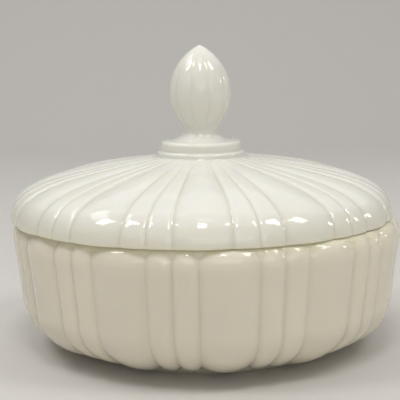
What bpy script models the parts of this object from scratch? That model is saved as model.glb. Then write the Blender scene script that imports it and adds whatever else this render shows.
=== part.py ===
"""A round covered jar in pressed opal glass: a lobed bowl and a loose domed lid with a bud finial.

The bowl stands on its foot ring with its axis on Z and its underside at Z = 0.
Sizes are in millimetres here and are turned into metres as the meshes are made.
"""
import math

import bmesh
import bpy

MM = 0.001

# lobes: wide ones, each followed by a pair of narrow ribs, all round the jar
LOBE_SETS = 12
WIDE_LOBE_ANGLE = 16.0
SET_ANGLE = 360.0 / LOBE_SETS
NARROW_RIB_ANGLE = (SET_ANGLE - WIDE_LOBE_ANGLE) / 2.0
# a lobe's section: power of its crown, power of its sides, share of the groove depth it rises
WIDE_SHAPE = (2.0, 0.95, 1.0)
NARROW_SHAPE = (2.2, 0.85, 0.6)
WIDE_STEPS = (-1.0, -0.7, -0.35, 0.0, 0.35, 0.7)
NARROW_STEPS = (-1.0, -0.6, 0.0, 0.6)
BOWL_TURN = 5.8
LID_TURN = 0.6

# bowl, outside
FOOT_INNER_RADIUS = 42.5
FOOT_OUTER_RADIUS = 50.3
FOOT_CORNER_RADIUS = 51.2
FOOT_CORNER_HEIGHT = 0.7
RECESS_RADIUS = 40.0
RECESS_HEIGHT = 1.0
HEEL_CURVE = ((51.9, 0.8), (71.5, 5.4), (76.8, 12.8), (77.1, 22.0))
HEEL_RINGS = 5
WALL_TOP = (79.9, 47.2)
SHOULDER_EDGE_RADIUS = 75.6
SHOULDER_LEANS = (30.0, 60.0, 90.0)
LEDGE_HEIGHT = 53.0
HEEL_GROOVE_DEPTH = 1.9
WALL_GROOVE_DEPTH = 1.5

# bowl, inside
MOUTH_RADIUS = 74.2
MOUTH_CHAMFER = 0.7
INNER_WALL_TOP = (73.4, 47.0)
INNER_HEEL_CURVE = ((71.4, 22.0), (70.2, 11.5), (62.0, 6.6), (46.0, 6.2))
INNER_HEEL_RINGS = 5
FLOOR_HEIGHT = 6.0

# lid
SEAT_GAP = 0.3
LID_SHIFT_X = -2.2
SEAT_HEIGHT = LEDGE_HEIGHT + SEAT_GAP
LID_EDGE_ROUNDING = 0.6
DOME_CURVE = ((78.8, SEAT_HEIGHT + LID_EDGE_ROUNDING), (78.2, 66.5), (64.0, 71.8), (18.3, 77.1))
DOME_RINGS = (0.0, 0.12, 0.24, 0.36, 0.48, 0.6, 0.72, 0.82, 0.88, 0.94, 0.98)
LID_GROOVE_DEPTH = 1.15
LOBE_TIP_RADIUS = 20.5
LOBE_FULL_RADIUS = 28.0
FLANGE_OUTER_RADIUS = 70.5
FLANGE_INNER_RADIUS = 67.7
FLANGE_DROP = 3.8
FLANGE_CHAMFER = 0.5
INNER_DOME_CURVE = ((67.5, 57.5), (66.5, 63.5), (52.0, 66.8), (0.0, 72.2))
INNER_DOME_RINGS = (0.84, 0.62, 0.42, 0.2, 0.0)

# collar and bud finial
FLARE_CURVE = ((18.3, 77.1), (17.6, 78.8), (16.5, 79.5), (16.4, 81.0))
FLARE_RINGS = 3
COLLAR_RADIUS = 16.3
COLLAR_CORNER_HEIGHT = 82.9
NECK_CURVE = ((15.6, 83.5), (9.0, 84.0), (7.2, 85.1), (7.15, 88.2))
NECK_RINGS = 4
BUD_LOWER_CURVE = ((7.15, 88.2), (7.9, 91.6), (12.75, 94.6), (12.75, 103.2))
BUD_LOWER_RINGS = (0.25, 0.45, 0.7, 1.0)
BUD_UPPER_CURVE = ((12.75, 103.2), (12.75, 112.5), (6.2, 119.8), (0.0, 122.3))
BUD_UPPER_RINGS = (0.25, 0.5, 0.7, 0.88)
PETALS = 10
PETAL_TURN = 0.0
PETAL_STEPS = (-1.0, -0.6, 0.0, 0.6)
PETAL_DEPTH = 0.42
PETAL_SHAPE = (2.0, 0.9, 1.0)
PETAL_START = 0.1
PETAL_FADE = 0.3

PLAIN_SEGMENTS = 48
SHARP_ANGLE = 32.0
GLASS_COLOUR = (0.80, 0.77, 0.68, 1.0)
LID_GLASS_COLOUR = (0.86, 0.84, 0.78, 1.0)
GLASS_ROUGHNESS = 0.12


def bezier(points, t):
    """Point at t on a cubic curve through (radius, height) control points."""
    weights = ((1 - t) ** 3, 3 * t * (1 - t) ** 2, 3 * t * t * (1 - t), t ** 3)
    return tuple(sum(w * p[axis] for w, p in zip(weights, points)) for axis in (0, 1))


def outward_normal(points, t):
    """Unit normal of a cubic curve, on the right hand of its direction of travel."""
    step = 1e-3
    first = bezier(points, max(0.0, t - step))
    last = bezier(points, min(1.0, t + step))
    run = last[0] - first[0]
    rise = last[1] - first[1]
    length = math.hypot(run, rise)
    return (rise / length, -run / length)


def ease(value, low, high):
    """Smooth ramp from 0 at low to 1 at high."""
    t = min(1.0, max(0.0, (value - low) / (high - low)))
    return t * t * (3.0 - 2.0 * t)


def lobe_arch(across, shape):
    """Height of a lobe's rounded section, 0 in the groove and up to its rise on its crown."""
    flatness, squareness, rise = shape
    return rise * (1.0 - min(1.0, abs(across)) ** flatness) ** squareness


def lobe_columns(turn):
    """(angle, groove) pairs round the jar; groove is 0 on a wide crown and 1 in a groove."""
    wide = (0.0, WIDE_LOBE_ANGLE / 2.0, WIDE_STEPS, WIDE_SHAPE)
    rib_half = NARROW_RIB_ANGLE / 2.0
    first_rib = (WIDE_LOBE_ANGLE / 2.0 + rib_half, rib_half, NARROW_STEPS, NARROW_SHAPE)
    second_rib = (first_rib[0] + NARROW_RIB_ANGLE, rib_half, NARROW_STEPS, NARROW_SHAPE)
    columns = []
    for index in range(LOBE_SETS):
        for centre, half, steps, shape in (wide, first_rib, second_rib):
            for across in steps:
                angle = math.radians(index * SET_ANGLE + centre + across * half + turn)
                columns.append((angle, 1.0 - lobe_arch(across, shape)))
    return columns


def petal_columns():
    """(angle, groove) pairs round the bud."""
    half = 180.0 / PETALS
    columns = []
    for index in range(PETALS):
        for across in PETAL_STEPS:
            angle = math.radians(2.0 * half * index + across * half + PETAL_TURN)
            columns.append((angle, 1.0 - lobe_arch(across, PETAL_SHAPE)))
    return columns


def plain_columns():
    """Evenly spaced columns with no grooves."""
    return [(math.tau * index / PLAIN_SEGMENTS, 0.0) for index in range(PLAIN_SEGMENTS)]


class RingSolid:
    """A closed round solid built from rings of points joined one to the next."""

    def __init__(self):
        self.mesh = bmesh.new()
        self.last = None
        self.pole = None

    def start(self, height):
        """Begin on the axis."""
        self.pole = self.mesh.verts.new((0.0, 0.0, height * MM))

    def ring(self, columns, place):
        """Add a ring; place(groove) gives (radius, height) in each column."""
        made = []
        for angle, groove in columns:
            radius, height = place(groove)
            x = radius * math.sin(angle) * MM
            y = -radius * math.cos(angle) * MM
            made.append((angle, self.mesh.verts.new((x, y, height * MM))))
        if self.pole is not None:
            self.fan(self.pole, made)
            self.pole = None
        else:
            self.stitch(self.last, made)
        self.last = made

    def finish(self, height):
        """Close the solid on the axis."""
        self.fan(self.mesh.verts.new((0.0, 0.0, height * MM)), self.last)

    def fan(self, centre, ring):
        """Join one point to a whole ring."""
        for index in range(len(ring)):
            self.mesh.faces.new((centre, ring[index][1], ring[(index + 1) % len(ring)][1]))

    def stitch(self, lower, upper):
        """Join two rings, with quads where their columns match and triangles where not."""
        if len(lower) == len(upper):
            for index in range(len(lower)):
                after = (index + 1) % len(lower)
                corners = (lower[index], lower[after], upper[after], upper[index])
                self.mesh.faces.new([corner[1] for corner in corners])
            return
        begin = min(range(len(upper)), key=lambda k: angle_between(upper[k][0], lower[0][0]))
        low_step = 0
        high_step = 0
        while low_step < len(lower) or high_step < len(upper):
            low_now = lower[low_step % len(lower)]
            low_next = lower[(low_step + 1) % len(lower)]
            high_now = upper[(begin + high_step) % len(upper)]
            high_next = upper[(begin + high_step + 1) % len(upper)]
            low_gap = turn_from(lower[0][0], low_next[0], low_step + 1 >= len(lower))
            high_gap = turn_from(lower[0][0], high_next[0], high_step + 1 >= len(upper))
            if high_step >= len(upper) or (low_step < len(lower) and low_gap <= high_gap):
                self.mesh.faces.new((low_now[1], low_next[1], high_now[1]))
                low_step += 1
            else:
                self.mesh.faces.new((low_now[1], high_next[1], high_now[1]))
                high_step += 1

    def build(self, name, material):
        """Turn the rings into a named object."""
        bmesh.ops.recalc_face_normals(self.mesh, faces=self.mesh.faces)
        data = bpy.data.meshes.new(name)
        self.mesh.to_mesh(data)
        self.mesh.free()
        made = bpy.data.objects.new(name, data)
        bpy.context.collection.objects.link(made)
        data.materials.append(material)
        data.shade_smooth()
        data.set_sharp_from_angle(angle=math.radians(SHARP_ANGLE))
        return made


def angle_between(first, second):
    """Size of the turn between two angles."""
    return abs((first - second + math.pi) % math.tau - math.pi)


def turn_from(origin, angle, full):
    """Angle on from the first column, a little past a full turn once the ring is closed."""
    turn = (angle - origin + math.pi / PLAIN_SEGMENTS) % math.tau
    return turn + math.tau if full else turn


def glass(name, colour):
    """Glossy opal glass."""
    made = bpy.data.materials.new(name)
    made.use_nodes = True
    shader = made.node_tree.nodes["Principled BSDF"]
    shader.inputs["Base Color"].default_value = colour
    shader.inputs["Roughness"].default_value = GLASS_ROUGHNESS
    shader.inputs["Metallic"].default_value = 0.0
    return made


def steps_between(first, last, count):
    """Evenly spaced values with both ends."""
    return [first + (last - first) * index / count for index in range(count + 1)]


def grooved(curve, t, depth):
    """Place function that sinks the grooves straight into a curve's surface."""
    radius, height = bezier(curve, t)
    across, up = outward_normal(curve, t)
    return lambda groove: (radius - across * depth * groove, height - up * depth * groove)


def plain(radius, height):
    """Place function of a ring with no grooves."""
    return lambda groove: (radius, height)


def sunk(radius, height, out, up, depth):
    """Place function that sinks the grooves along a given direction."""
    return lambda groove: (radius - out * depth * groove, height - up * depth * groove)


def make_bowl():
    """The bowl: foot ring, lobed heel and wall, rounded shoulder, flat ledge, smooth inside."""
    lobed = lobe_columns(BOWL_TURN)
    smooth = plain_columns()
    solid = RingSolid()
    solid.start(RECESS_HEIGHT)
    solid.ring(smooth, plain(RECESS_RADIUS, RECESS_HEIGHT))
    solid.ring(smooth, plain(FOOT_INNER_RADIUS, 0.0))
    solid.ring(smooth, plain(FOOT_OUTER_RADIUS, 0.0))
    solid.ring(lobed, plain(FOOT_CORNER_RADIUS, FOOT_CORNER_HEIGHT))
    for t in steps_between(0.0, 1.0, HEEL_RINGS):
        depth = HEEL_GROOVE_DEPTH + (WALL_GROOVE_DEPTH - HEEL_GROOVE_DEPTH) * t
        solid.ring(lobed, grooved(HEEL_CURVE, t, depth))
    top_radius, top_height = WALL_TOP
    solid.ring(lobed, lambda groove: (top_radius - WALL_GROOVE_DEPTH * groove, top_height))
    for lean in SHOULDER_LEANS:
        out = math.cos(math.radians(lean))
        up = math.sin(math.radians(lean))
        radius = SHOULDER_EDGE_RADIUS + (top_radius - SHOULDER_EDGE_RADIUS) * out
        height = top_height + (LEDGE_HEIGHT - top_height) * up
        depth = WALL_GROOVE_DEPTH * (1.0 - ease(lean, SHOULDER_LEANS[0], SHOULDER_LEANS[-1]))
        solid.ring(lobed, sunk(radius, height, out, up, depth))
    solid.ring(smooth, plain(MOUTH_RADIUS, LEDGE_HEIGHT))
    solid.ring(smooth, plain(MOUTH_RADIUS - MOUTH_CHAMFER, LEDGE_HEIGHT - MOUTH_CHAMFER))
    solid.ring(smooth, plain(*INNER_WALL_TOP))
    for t in steps_between(0.0, 1.0, INNER_HEEL_RINGS):
        solid.ring(smooth, plain(*bezier(INNER_HEEL_CURVE, t)))
    solid.finish(FLOOR_HEIGHT)
    return solid.build("bowl", glass("bowl_glass", GLASS_COLOUR))


def make_lid():
    """The lid: inner dome, locating flange, seat, lobed dome, collar and bud finial."""
    lobed = lobe_columns(LID_TURN)
    smooth = plain_columns()
    solid = RingSolid()
    solid.start(INNER_DOME_CURVE[3][1])
    for t in INNER_DOME_RINGS:
        solid.ring(smooth, plain(*bezier(INNER_DOME_CURVE, t)))
    flange_low = SEAT_HEIGHT - FLANGE_DROP
    solid.ring(smooth, plain(FLANGE_INNER_RADIUS, flange_low + FLANGE_CHAMFER))
    solid.ring(smooth, plain(FLANGE_INNER_RADIUS + FLANGE_CHAMFER, flange_low))
    solid.ring(smooth, plain(FLANGE_OUTER_RADIUS - FLANGE_CHAMFER, flange_low))
    solid.ring(smooth, plain(FLANGE_OUTER_RADIUS, flange_low + FLANGE_CHAMFER))
    solid.ring(smooth, plain(FLANGE_OUTER_RADIUS, SEAT_HEIGHT))
    edge = DOME_CURVE[0][0]
    solid.ring(lobed, sunk(edge - LID_EDGE_ROUNDING, SEAT_HEIGHT, 1.0, 0.0, LID_GROOVE_DEPTH))
    for t in DOME_RINGS:
        radius = bezier(DOME_CURVE, t)[0]
        depth = LID_GROOVE_DEPTH * ease(radius, LOBE_TIP_RADIUS, LOBE_FULL_RADIUS)
        solid.ring(lobed, grooved(DOME_CURVE, t, depth))
    for t in steps_between(0.0, 1.0, FLARE_RINGS):
        solid.ring(smooth, plain(*bezier(FLARE_CURVE, t)))
    solid.ring(smooth, plain(COLLAR_RADIUS, COLLAR_CORNER_HEIGHT))
    for t in steps_between(0.0, 1.0, NECK_RINGS):
        solid.ring(smooth, plain(*bezier(NECK_CURVE, t)))
    petals = petal_columns()
    for t in BUD_LOWER_RINGS:
        depth = PETAL_DEPTH * ease(t, PETAL_START, PETAL_START + PETAL_FADE)
        solid.ring(petals, grooved(BUD_LOWER_CURVE, t, depth))
    for t in BUD_UPPER_RINGS:
        depth = PETAL_DEPTH * (1.0 - ease(t, 1.0 - PETAL_FADE, 1.0))
        solid.ring(petals, grooved(BUD_UPPER_CURVE, t, depth))
    solid.finish(BUD_UPPER_CURVE[3][1])
    made = solid.build("lid", glass("lid_glass", LID_GLASS_COLOUR))
    made.location.x = LID_SHIFT_X * MM
    return made


for old in list(bpy.data.objects):
    bpy.data.objects.remove(old, do_unlink=True)

make_bowl()
make_lid()
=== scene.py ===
"""Looks of a round covered jar in pressed opal glass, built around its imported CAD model."""
import math

import bpy
import numpy as np
from mathutils import Matrix, Vector


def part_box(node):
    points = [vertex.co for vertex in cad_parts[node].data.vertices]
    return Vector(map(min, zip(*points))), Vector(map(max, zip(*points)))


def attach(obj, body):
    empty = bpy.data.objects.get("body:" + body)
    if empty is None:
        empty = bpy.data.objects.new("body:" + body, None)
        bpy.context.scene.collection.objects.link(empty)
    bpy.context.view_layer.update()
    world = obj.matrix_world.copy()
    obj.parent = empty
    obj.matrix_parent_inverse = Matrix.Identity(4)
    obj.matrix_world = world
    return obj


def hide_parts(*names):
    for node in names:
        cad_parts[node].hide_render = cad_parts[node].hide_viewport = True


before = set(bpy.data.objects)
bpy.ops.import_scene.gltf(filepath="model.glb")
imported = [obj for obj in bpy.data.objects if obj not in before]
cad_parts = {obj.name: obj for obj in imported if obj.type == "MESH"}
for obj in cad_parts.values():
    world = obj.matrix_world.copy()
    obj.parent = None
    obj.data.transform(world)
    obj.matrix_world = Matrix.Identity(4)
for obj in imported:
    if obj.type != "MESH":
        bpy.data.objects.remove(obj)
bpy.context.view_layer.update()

MM = 0.001
# share of the CAD size that the glass takes, so that it stays inside the CAD box; LID_FILL is for
# the lid's radii only
FILL = 0.9992
LID_FILL = 0.9975

# lobes: wide ones, each followed by a pair of narrow ribs, all round the jar
LOBE_SETS = 12
SET_ANGLE = 360.0 / LOBE_SETS
WIDE_HALF = 8.0
RIB_HALF = 3.5
# wide lobe, then rib: power of its crown, power of its sides, share of the groove depth it rises
BOWL_CROWNS = ((2.0, 0.80, 1.0), (2.3, 0.82, 0.65))
LID_CROWNS = ((2.0, 1.0, 1.0), (6.0, 0.95, 0.55))
# rounding of the cusp in each groove, as a share of the groove's depth
FILLET = 0.12
WIDE_COLUMNS = 24
RIB_COLUMNS = 14
# degrees that the first wide lobe is turned from the front
BOWL_TURN = 5.8
LID_TURN = 0.6
# depth at which a groove takes its full painted shade
FULL_SHADE_DEPTH = 0.6
# above 1, rings crowd towards the start of the heel and shoulder, and towards the top of the dome
RING_SPACING = 1.15
DOME_SPACING = 1.25
# share of the inner dome's and the bud's upper curve that rings follow, before a fan closes the rest
DOME_HUB = 0.97
BUD_TIP = 0.985

# bowl profile, millimetres, as (radius, height)
RECESS = (40.0, 1.0)
RECESS_HUB = 4.0
FOOT_INNER = 42.5
FOOT_FLAT = (43.3, 50.3)
FOOT_ROUND = ((51.0, 0.12), (51.5, 0.4))
HEEL_CURVE = ((51.9, 0.8), (71.5, 5.4), (76.8, 12.8), (77.1, 22.0))
WALL_TOP = (79.9, 46.2)
SHOULDER_EDGE = 74.9
# below 1 the shoulder turns over more tightly in its middle than at its ends
SHOULDER_POWER = 0.85
LEDGE_HEIGHT = 53.0
LEDGE_EDGE = 75.6
HEEL_GROOVE = 2.0
WALL_GROOVE = 1.9
# radii between which the heel's grooves deepen, and the depth share they start with
HEEL_FADE = (52.0, 60.0)
HEEL_START = 0.15
# rounded lobe ends: place where the lobe is full, place of its tip, and width lost there
HEEL_END = (68.0, 56.5, 2.6)
SHOULDER_END = (5.0, 80.0, 3.0)
COLLAR_END = (25.0, 19.2, 1.6)
# angles, in degrees up from level, at which the shoulder's grooves fade out and its painted olive shade
# fades in
SHOULDER_FADE = (45.0, 90.0)
SHOULDER_SHADE = (38.0, 65.0)
MOUTH_EDGE = 74.5
MOUTH_ROUND = 0.7
INNER_WALL_TOP = (73.6, 51.0)
INNER_HEEL_CURVE = ((71.4, 22.0), (70.2, 11.5), (62.0, 6.6), (46.0, 6.2))
FLOOR_HEIGHT = 6.0

# lid profile
SEAT_HEIGHT = 53.3
EDGE_ROUND = 0.6
# the rim reaches a little below the seat
RIM_HEIGHT = SEAT_HEIGHT - 0.22
RIM_ROUND = 0.6
DOME_CURVE = ((78.8, SEAT_HEIGHT + EDGE_ROUND), (78.2, 66.5), (64.0, 71.8), (18.3, 77.1))
LID_GROOVE = 0.95
RIM_RINGS = (73.0, 76.0)
# radii between which the lid's grooves fade in, first from nothing and then from a shallow share
GROOVE_START = (18.6, 21.5)
GROOVE_DEEPEN = (20.0, 48.0)
GROOVE_SHARE = 0.3
# strength of the rim's tint, and the share of the dome's curve that it reaches along
RIM_TINT = 0.4
RIM_TINT_REACH = 0.35
FLANGE_OUTER = 70.5
FLANGE_INNER = 67.7
FLANGE_DROP = 3.8
FLANGE_ROUND = 0.5
FLANGE_STRAIGHT = 1.0
FLANGE_FILLET = 0.3
INNER_DOME_CURVE = ((67.5, 57.5), (66.5, 63.5), (52.0, 66.8), (0.0, 72.2))
# a low step round the foot of the collar, then the collar's side and its rounded top edge
COLLAR_STEP = ((18.05, 77.25), (17.9, 77.6), (17.85, 78.1), (17.85, 78.6), (17.7, 79.0),
               (17.35, 79.25), (16.9, 79.35), (16.6, 79.45), (16.48, 79.7), (16.45, 80.1))
COLLAR_SIDE = ((16.42, 81.0), (16.4, 82.0), (16.38, 82.4), (16.25, 82.8), (16.0, 83.1), (15.7, 83.3))
NECK_CURVE = ((15.3, 83.4), (9.0, 84.0), (7.2, 85.1), (7.15, 88.2))
BUD_LOWER_CURVE = ((7.15, 88.2), (7.9, 91.6), (12.75, 94.6), (12.75, 103.2))
BUD_UPPER_CURVE = ((12.75, 103.2), (12.75, 112.5), (6.2, 119.8), (0.0, 122.3))
PETALS = 10
PETAL_DEPTH = 0.42
# powers of a petal's crown and sides, and where the petals fade in and out along the bud's two curves
PETAL_POWERS = (2.0, 0.9)
PETAL_FADE_IN = (0.1, 0.4)
PETAL_FADE_OUT = (0.1, 0.65)

# base colours of the glass, each as crest, groove and rim; groove is a painted shade darkening the
# grooves, rim is a painted olive shade on the bowl's shoulder under the lid, and a yellower tint at the
# lid's rim
BOWL_COLOURS = ((0.79, 0.742, 0.612), (0.76, 0.70, 0.56), (0.80, 0.76, 0.58))
LID_COLOURS = ((0.79, 0.78, 0.71), (0.68, 0.66, 0.57), (0.78, 0.745, 0.59))
CLOUD_SHADE = 0.94
CLOUD_SCALE = 28.0
CLOUD_DETAIL = 3.0
CLOUD_BAND = (0.3, 0.75)
RIPPLE_SCALE = 90.0
RIPPLE_DETAIL = 2.0
RIPPLE_STRENGTH = 0.25
RIPPLE_DISTANCE = 0.0006
# power that narrows the painted groove shade towards each groove's floor
GROOVE_SHARPNESS = 6.0
ROUGHNESS = (0.04, 0.09)
GLASS_IOR = 1.5
MILKINESS = 0.6
MILK_RADIUS = (1.0, 0.85, 0.62)
MILK_DEPTH = 0.004

# floor, metres: reach to the front and sides, start and radius of its curve up, backdrop height
FLOOR_REACH = 6.0
FLOOR_END = 0.7
FLOOR_CURVE = 0.4
BACKDROP_HEIGHT = 1.4
FLOOR_STEPS = 12
FLOOR_COLOUR = (0.62, 0.60, 0.57)
FLOOR_ROUGHNESS = 0.6

# name, azimuth and elevation in degrees, distance, slide to the right, size, watts, colour
LIGHTS = (
    ("window_front", 0.0, 61.0, 1.0, 0.0, (0.18, 0.27), 1.8, (1.0, 0.99, 0.97)),
    ("window_left", -70.0, 54.0, 1.2, 0.0, (0.28, 0.40), 3.0, (1.0, 0.99, 0.98)),
    ("window_right", 68.0, 54.0, 1.2, 0.0, (0.28, 0.40), 3.1, (1.0, 0.98, 0.95)),
    ("window_high", 0.0, 78.0, 1.0, 0.05, (0.26, 0.22), 0.3, (1.0, 0.99, 0.97)),
    ("ceiling", 0.0, 86.0, 1.1, 0.0, (1.4, 1.0), 1.3, (0.99, 0.99, 1.0)),
    ("middle_row", 0.0, 30.0, 1.2, 0.0, (1.4, 0.5), 1.1, (1.0, 0.99, 0.97)),
    ("front_fill", 8.0, 14.0, 1.2, 0.0, (1.0, 0.4), 1.8, (1.0, 0.98, 0.95)),
    ("side_lamp", 100.0, 18.0, 0.9, 0.0, (0.06, 0.14), 0.4, (1.0, 0.95, 0.86)),
    ("upper_left", -105.0, 56.0, 1.2, 0.0, (0.5, 0.4), 1.8, (1.0, 0.99, 0.97)),
    ("back_glow", 180.0, 46.0, 1.4, 0.0, (2.8, 1.8), 9.5, (0.96, 0.98, 1.0)),
)
LIGHT_TARGET = (0.0, 0.0, 0.06)
WORLD_COLOUR = (0.95, 0.96, 1.0)
WORLD_STRENGTH = 0.20

CAMERA_PLACE = (0.0, -0.43, 0.12582)
CAMERA_PITCH = 8.92
CAMERA_ROLL = -0.63
CAMERA_LENS = 94.2
CAMERA_SHIFT_X = -0.0167
CAMERA_SENSOR = 36.0
CAMERA_CLIP = 0.01


def ease(value, low, high):
    """Smooth ramp from 0 at low to 1 at high."""
    t = np.clip((value - low) / (high - low), 0.0, 1.0)
    return t * t * (3.0 - 2.0 * t)


def bezier(points, t):
    """Point at t on a cubic curve of (radius, height) control points."""
    weights = ((1 - t) ** 3, 3 * t * (1 - t) ** 2, 3 * t * t * (1 - t), t ** 3)
    return tuple(sum(w * p[axis] for w, p in zip(weights, points)) for axis in (0, 1))


def normal(points, t):
    """Unit normal on the right hand of a curve's direction of travel."""
    first = bezier(points, max(0.0, t - 1e-3))
    last = bezier(points, min(1.0, t + 1e-3))
    run, rise = last[0] - first[0], last[1] - first[1]
    length = math.hypot(run, rise)
    return (rise / length, -run / length)


def line(first, last, count):
    """The points of a straight run but for its first one."""
    return [(first[0] + (last[0] - first[0]) * t, first[1] + (last[1] - first[1]) * t)
            for t in np.linspace(0.0, 1.0, count)[1:]]


def arc(first, last, count):
    """Sine and cosine at even steps between two angles in degrees."""
    return [(math.sin(math.radians(lean)), math.cos(math.radians(lean)))
            for lean in np.linspace(first, last, count)]


def lobe_field(turn, crowns):
    """Angle, place across its lobe, lobe half width, crown, sides and rise of every column."""
    lobes = ((0.0, WIDE_HALF, WIDE_COLUMNS, crowns[0]),
             (WIDE_HALF + RIB_HALF, RIB_HALF, RIB_COLUMNS, crowns[1]),
             (WIDE_HALF + 3 * RIB_HALF, RIB_HALF, RIB_COLUMNS, crowns[1]))
    rows = []
    for index in range(LOBE_SETS):
        for centre, half, columns, crown in lobes:
            for step in range(columns):
                place = -math.cos(math.pi * step / columns)
                angle = math.radians(index * SET_ANGLE + centre + place * half + turn)
                rows.append((angle, place, math.radians(half), *crown))
    return np.array(rows).T


def lobe_arch(solid, width):
    """Height of each lobe's rounded section, 0 in the groove and up to its rise on its crown."""
    inside = np.clip(np.abs(solid.across) / np.maximum(width, 1e-6), 0.0, 1.0)
    sharp = (1.0 - inside ** solid.powers) ** solid.sides
    soft = (np.sqrt(sharp ** 2 + FILLET ** 2) - FILLET) / (math.sqrt(1.0 + FILLET ** 2) - FILLET)
    return soft * solid.rises


class Turned:
    """A closed round solid made of rings with the same columns."""

    def __init__(self, turn, crowns, fill):
        (self.angles, self.across, self.halves,
         self.powers, self.sides, self.rises) = lobe_field(turn, crowns)
        self.fill = fill
        self.rings = []
        self.grooves = []
        self.edge_shades_and_tints = []

    def ring(self, radius, height, depth=0.0, out=1.0, up=0.0, width=1.0, edge=0.0, groove=None):
        """Add a ring; depth sinks its grooves against the direction (out, up)."""
        if groove is None:
            groove = 1.0 - lobe_arch(self, width)
        r = radius - out * depth * groove
        h = height - up * depth * groove
        r = r * self.fill
        ring = [r * np.sin(self.angles), -r * np.cos(self.angles), h * FILL]
        self.rings.append(np.stack(ring, axis=1))
        # painted shade in the grooves, full where a groove is as deep as the full shade depth
        self.grooves.append(groove * min(1.0, depth / FULL_SHADE_DEPTH))
        # painted olive shade on the bowl's shoulder under the lid, and a yellower tint at the lid's rim
        self.edge_shades_and_tints.append(np.full(len(groove), edge))

    def build(self, name, bottom, top):
        """Join the rings and close them on the axis at heights bottom and top."""
        count = len(self.angles)
        poles = np.array([[0, 0, bottom * FILL], [0, 0, top * FILL]])
        points = np.concatenate(self.rings + [poles]) * MM
        faces = []
        for level in range(len(self.rings) - 1):
            base = level * count
            for k in range(count):
                n = (k + 1) % count
                faces.append((base + k, base + n, base + count + n, base + count + k))
        low, high = len(points) - 2, len(points) - 1
        last = (len(self.rings) - 1) * count
        for k in range(count):
            n = (k + 1) % count
            faces.append((low, n, k))
            faces.append((high, last + k, last + n))
        data = bpy.data.meshes.new(name)
        data.from_pydata(points.tolist(), [], faces)
        data.update()
        for label, values in (("groove", self.grooves), ("edge", self.edge_shades_and_tints)):
            layer = data.attributes.new(label, "FLOAT", "POINT")
            flat = np.concatenate(values + [np.zeros(2)])
            layer.data.foreach_set("value", flat.astype(np.float32))
        data.shade_smooth()
        made = bpy.data.objects.new(name, data)
        bpy.context.collection.objects.link(made)
        return made


def rounded_end(solid, radius, place, full, tip, most):
    """Share of each lobe's half width left at a place between full and tip, where lobes end rounded."""
    t = min(1.0, max(0.0, (full - place) / (full - tip)))
    lost = most * (1.0 - math.sqrt(1.0 - t * t))
    return np.clip(1.0 - lost / (solid.halves * radius), 0.0, 1.0)


def make_bowl():
    """The bowl: foot, lobed heel and wall, rounded shoulder, ledge and plain inside."""
    solid = Turned(BOWL_TURN, BOWL_CROWNS, FILL)
    for r in np.linspace(RECESS_HUB, RECESS[0], 8):
        solid.ring(r, RECESS[1])
    for t in np.linspace(0.0, 1.0, 5)[1:]:
        solid.ring(RECESS[0] + (FOOT_INNER - RECESS[0]) * t, RECESS[1] * (1.0 - ease(t, 0.0, 1.0)))
    for r in np.linspace(*FOOT_FLAT, 5):
        solid.ring(r, 0.0)
    for radius, height in FOOT_ROUND:
        solid.ring(radius, height)
    for t in np.linspace(0.0, 1.0, 46) ** RING_SPACING:
        radius, height = bezier(HEEL_CURVE, t)
        out, up = normal(HEEL_CURVE, t)
        depth = HEEL_GROOVE + (WALL_GROOVE - HEEL_GROOVE) * t
        depth = depth * (HEEL_START + (1.0 - HEEL_START) * ease(radius, *HEEL_FADE))
        solid.ring(radius, height, depth, out, up, rounded_end(solid, radius, radius, *HEEL_END))
    for radius, height in line(HEEL_CURVE[3], WALL_TOP, 12):
        solid.ring(radius, height, WALL_GROOVE)
    for lean in 90.0 * np.linspace(0.0, 1.0, 23)[1:] ** RING_SPACING:
        out, up = max(0.0, math.cos(math.radians(lean))), math.sin(math.radians(lean))
        depth = WALL_GROOVE * (1.0 - ease(lean, *SHOULDER_FADE))
        width = rounded_end(solid, WALL_TOP[0], lean, *SHOULDER_END)
        radius = SHOULDER_EDGE + (WALL_TOP[0] - SHOULDER_EDGE) * out ** SHOULDER_POWER
        height = WALL_TOP[1] + (LEDGE_HEIGHT - WALL_TOP[1]) * up ** SHOULDER_POWER
        # painted olive shade on the upper shoulder, standing in for the shade under the lid's overhang
        solid.ring(radius, height, depth, out, up, width, edge=ease(lean, *SHOULDER_SHADE))
    for r in (LEDGE_EDGE, MOUTH_EDGE):
        solid.ring(r, LEDGE_HEIGHT)
    # the painted olive shade goes on over the mouth's rounding
    for s, c in arc(0.0, 90.0, 6)[1:]:
        solid.ring(MOUTH_EDGE - MOUTH_ROUND * s, LEDGE_HEIGHT - MOUTH_ROUND * (1 - c), edge=1.0)
    for radius, height in line(INNER_WALL_TOP, INNER_HEEL_CURVE[0], 10):
        solid.ring(radius, height)
    for t in np.linspace(0.0, 1.0, 18)[1:]:
        solid.ring(*bezier(INNER_HEEL_CURVE, t))
    for radius, height in line(INNER_HEEL_CURVE[3], (0.0, FLOOR_HEIGHT), 10)[:-1]:
        solid.ring(radius, height)
    return solid.build("bowl_glass_body", RECESS[1], FLOOR_HEIGHT)


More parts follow.
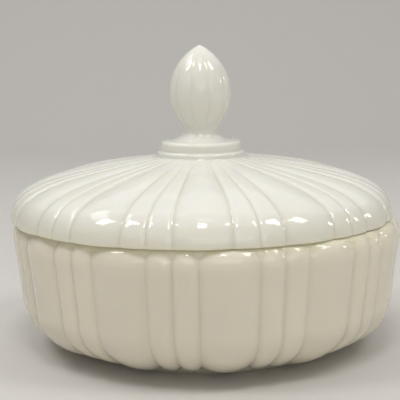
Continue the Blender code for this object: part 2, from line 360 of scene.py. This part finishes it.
def make_lid(shift):
    """The lid: inner dome, flange, seat, lobed dome, collar and bud finial."""
    solid = Turned(LID_TURN, LID_CROWNS, LID_FILL)
    for t in np.linspace(DOME_HUB, 0.0, 13):
        solid.ring(*bezier(INNER_DOME_CURVE, t))
    low = SEAT_HEIGHT - FLANGE_DROP
    solid.ring(FLANGE_INNER, low + FLANGE_ROUND + FLANGE_STRAIGHT)
    for s, c in arc(0.0, 90.0, 4):
        solid.ring(FLANGE_INNER + FLANGE_ROUND * (1 - c), low + FLANGE_ROUND * (1 - s), edge=1.0)
    for s, c in arc(0.0, 90.0, 4):
        solid.ring(FLANGE_OUTER - FLANGE_ROUND * (1 - s), low + FLANGE_ROUND * (1 - c), edge=1.0)
    solid.ring(FLANGE_OUTER, SEAT_HEIGHT - FLANGE_FILLET)
    solid.ring(FLANGE_OUTER + FLANGE_FILLET, RIM_HEIGHT)
    edge = DOME_CURVE[0][0]
    for r in RIM_RINGS:
        solid.ring(r, RIM_HEIGHT)
    for s, c in arc(-90.0, 0.0, 7):
        solid.ring(edge - EDGE_ROUND * (1 - c), RIM_HEIGHT + RIM_ROUND * (1 + s), LID_GROOVE,
                   edge=1.0)
    for t in np.linspace(0.0, 1.0, 60)[1:]:
        t = 1.0 - (1.0 - t) ** DOME_SPACING
        radius, height = bezier(DOME_CURVE, t)
        out, up = normal(DOME_CURVE, t)
        share = GROOVE_SHARE + (1.0 - GROOVE_SHARE) * ease(radius, *GROOVE_DEEPEN)
        depth = LID_GROOVE * share * ease(radius, *GROOVE_START)
        width = rounded_end(solid, radius, radius, *COLLAR_END)
        tint = RIM_TINT * (1.0 - ease(t, 0.0, RIM_TINT_REACH))
        solid.ring(radius, height, depth, out, up, width, edge=tint)
    for radius, height in COLLAR_STEP + COLLAR_SIDE:
        solid.ring(radius, height)
    for t in np.linspace(0.0, 1.0, 12):
        solid.ring(*bezier(NECK_CURVE, t))
    half = 180.0 / PETALS
    petal = np.abs((np.degrees(solid.angles) + half) % (2.0 * half) / half - 1.0)
    petal_groove = 1.0 - (1.0 - petal ** PETAL_POWERS[0]) ** PETAL_POWERS[1]
    for t in np.linspace(0.0, 1.0, 17)[1:]:
        out, up = normal(BUD_LOWER_CURVE, t)
        depth = PETAL_DEPTH * ease(t, *PETAL_FADE_IN)
        solid.ring(*bezier(BUD_LOWER_CURVE, t), depth, out, up, groove=petal_groove)
    for t in np.linspace(0.0, BUD_TIP, 20)[1:]:
        out, up = normal(BUD_UPPER_CURVE, t)
        depth = PETAL_DEPTH * (1.0 - ease(t, *PETAL_FADE_OUT))
        solid.ring(*bezier(BUD_UPPER_CURVE, t), depth, out, up, groove=petal_groove)
    made = solid.build("lid_glass_body", INNER_DOME_CURVE[3][1], BUD_UPPER_CURVE[3][1])
    made.location.x = shift
    return made


def opal_glass(name, crest, groove, rim_shade_and_tint):
    """Glossy opal glass: milky depth, faint clouding, a painted shade in the grooves, a painted olive
    shade on the bowl's shoulder under the lid and a yellower tint at the lid's rim.
    """
    made = bpy.data.materials.new(name)
    made.use_nodes = True
    nodes, links = made.node_tree.nodes, made.node_tree.links
    shader = nodes["Principled BSDF"]
    place = nodes.new("ShaderNodeTexCoord")
    cloud = nodes.new("ShaderNodeTexNoise")
    cloud.inputs["Scale"].default_value = CLOUD_SCALE
    cloud.inputs["Detail"].default_value = CLOUD_DETAIL
    links.new(place.outputs["Object"], cloud.inputs["Vector"])
    # attributes carrying the painted groove shade, and the painted shoulder shade with the lid rim's
    # tint
    groove_shade_value = nodes.new("ShaderNodeAttribute")
    groove_shade_value.attribute_name = "groove"
    edge_shade_and_tint_value = nodes.new("ShaderNodeAttribute")
    edge_shade_and_tint_value.attribute_name = "edge"

    cloud_ramp = nodes.new("ShaderNodeValToRGB")
    cloud_ramp.color_ramp.elements[0].position = CLOUD_BAND[0]
    cloud_ramp.color_ramp.elements[0].color = (*[c * CLOUD_SHADE for c in crest], 1)
    cloud_ramp.color_ramp.elements[1].position = CLOUD_BAND[1]
    cloud_ramp.color_ramp.elements[1].color = (*crest, 1)
    links.new(cloud.outputs["Fac"], cloud_ramp.inputs["Fac"])

    # painted shade: darkens the glass's colour in the grooves
    groove_shade = nodes.new("ShaderNodeMix")
    groove_shade.data_type = "RGBA"
    groove_shade.inputs["B"].default_value = (*groove, 1)
    narrow = nodes.new("ShaderNodeMath")
    narrow.operation = "POWER"
    narrow.inputs[1].default_value = GROOVE_SHARPNESS
    links.new(groove_shade_value.outputs["Fac"], narrow.inputs[0])
    links.new(narrow.outputs["Value"], groove_shade.inputs["Factor"])
    links.new(cloud_ramp.outputs["Color"], groove_shade.inputs["A"])

    # painted olive shade on the bowl's shoulder under the lid; on the lid, a yellower tint at its rim
    edge_shade_and_tint = nodes.new("ShaderNodeMix")
    edge_shade_and_tint.data_type = "RGBA"
    edge_shade_and_tint.inputs["B"].default_value = (*rim_shade_and_tint, 1)
    links.new(edge_shade_and_tint_value.outputs["Fac"], edge_shade_and_tint.inputs["Factor"])
    links.new(groove_shade.outputs["Result"], edge_shade_and_tint.inputs["A"])
    links.new(edge_shade_and_tint.outputs["Result"], shader.inputs["Base Color"])

    ripple = nodes.new("ShaderNodeTexNoise")
    ripple.inputs["Scale"].default_value = RIPPLE_SCALE
    ripple.inputs["Detail"].default_value = RIPPLE_DETAIL
    links.new(place.outputs["Object"], ripple.inputs["Vector"])
    bump = nodes.new("ShaderNodeBump")
    bump.inputs["Strength"].default_value = RIPPLE_STRENGTH
    bump.inputs["Distance"].default_value = RIPPLE_DISTANCE
    links.new(ripple.outputs["Fac"], bump.inputs["Height"])
    links.new(bump.outputs["Normal"], shader.inputs["Normal"])

    rough = nodes.new("ShaderNodeMapRange")
    rough.inputs["To Min"].default_value = ROUGHNESS[0]
    rough.inputs["To Max"].default_value = ROUGHNESS[1]
    links.new(cloud.outputs["Fac"], rough.inputs["Value"])
    links.new(rough.outputs["Result"], shader.inputs["Roughness"])

    shader.inputs["IOR"].default_value = GLASS_IOR
    shader.inputs["Subsurface Weight"].default_value = MILKINESS
    shader.inputs["Subsurface Radius"].default_value = MILK_RADIUS
    shader.inputs["Subsurface Scale"].default_value = MILK_DEPTH
    return made


def area_light(name, place, target, size, power, colour):
    """A soft rectangular light at place facing target."""
    data = bpy.data.lights.new(name, "AREA")
    data.shape = "RECTANGLE"
    data.size, data.size_y = size
    data.energy = power
    data.color = colour
    made = bpy.data.objects.new(name, data)
    bpy.context.collection.objects.link(made)
    made.location = place
    made.rotation_euler = (Vector(target) - made.location).to_track_quat("-Z", "Y").to_euler()


def make_floor():
    """Plain pale floor that curves up into a backdrop."""
    material = bpy.data.materials.new("pale_floor")
    material.use_nodes = True
    shader = material.node_tree.nodes["Principled BSDF"]
    shader.inputs["Base Color"].default_value = (*FLOOR_COLOUR, 1)
    shader.inputs["Roughness"].default_value = FLOOR_ROUGHNESS
    profile = [(-FLOOR_REACH, 0.0), (FLOOR_END, 0.0)]
    for step in range(1, FLOOR_STEPS + 1):
        lean = math.radians(90.0 * step / FLOOR_STEPS)
        profile.append((FLOOR_END + FLOOR_CURVE * math.sin(lean),
                        FLOOR_CURVE * (1 - math.cos(lean))))
    profile.append((FLOOR_END + FLOOR_CURVE, BACKDROP_HEIGHT))
    points, faces = [], []
    for y, z in profile:
        points += [(-FLOOR_REACH, y, z), (FLOOR_REACH, y, z)]
    for k in range(len(profile) - 1):
        faces.append((2 * k, 2 * k + 1, 2 * k + 3, 2 * k + 2))
    data = bpy.data.meshes.new("floor")
    data.from_pydata(points, [], faces)
    data.shade_smooth()
    data.materials.append(material)
    floor = bpy.data.objects.new("floor", data)
    bpy.context.collection.objects.link(floor)


lid_low, lid_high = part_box("lid")
bowl = make_bowl()
lid = make_lid((lid_low.x + lid_high.x) / 2)
bowl.data.materials.append(opal_glass("bowl_opal", *BOWL_COLOURS))
lid.data.materials.append(opal_glass("lid_opal", *LID_COLOURS))
for piece, name in ((bowl, "bowl"), (lid, "lid")):
    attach(piece, name)
    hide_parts(name)

make_floor()

for name, azimuth, elevation, distance, slide, size, power, colour in LIGHTS:
    turn, rise = math.radians(azimuth), math.radians(elevation)
    aim = (LIGHT_TARGET[0] + slide * math.cos(turn),
           LIGHT_TARGET[1] + slide * math.sin(turn), LIGHT_TARGET[2])
    place = (aim[0] + distance * math.sin(turn) * math.cos(rise),
             aim[1] - distance * math.cos(turn) * math.cos(rise),
             aim[2] + distance * math.sin(rise))
    area_light(name, place, aim, size, power, colour)

world = bpy.data.worlds.new("studio")
bpy.context.scene.world = world
world.use_nodes = True
background = world.node_tree.nodes["Background"]
background.inputs["Color"].default_value = (*WORLD_COLOUR, 1)
background.inputs["Strength"].default_value = WORLD_STRENGTH

camera_data = bpy.data.cameras.new("camera")
camera_data.lens = CAMERA_LENS
camera_data.sensor_width = CAMERA_SENSOR
camera_data.shift_x = CAMERA_SHIFT_X
camera_data.clip_start = CAMERA_CLIP
camera = bpy.data.objects.new("camera", camera_data)
bpy.context.collection.objects.link(camera)
camera.matrix_world = (Matrix.Translation(CAMERA_PLACE)
                       @ Matrix.Rotation(math.radians(90.0 - CAMERA_PITCH), 4, "X")
                       @ Matrix.Rotation(math.radians(CAMERA_ROLL), 4, "Z"))
bpy.context.scene.camera = camera
bpy.context.scene.view_settings.view_transform = "Standard"
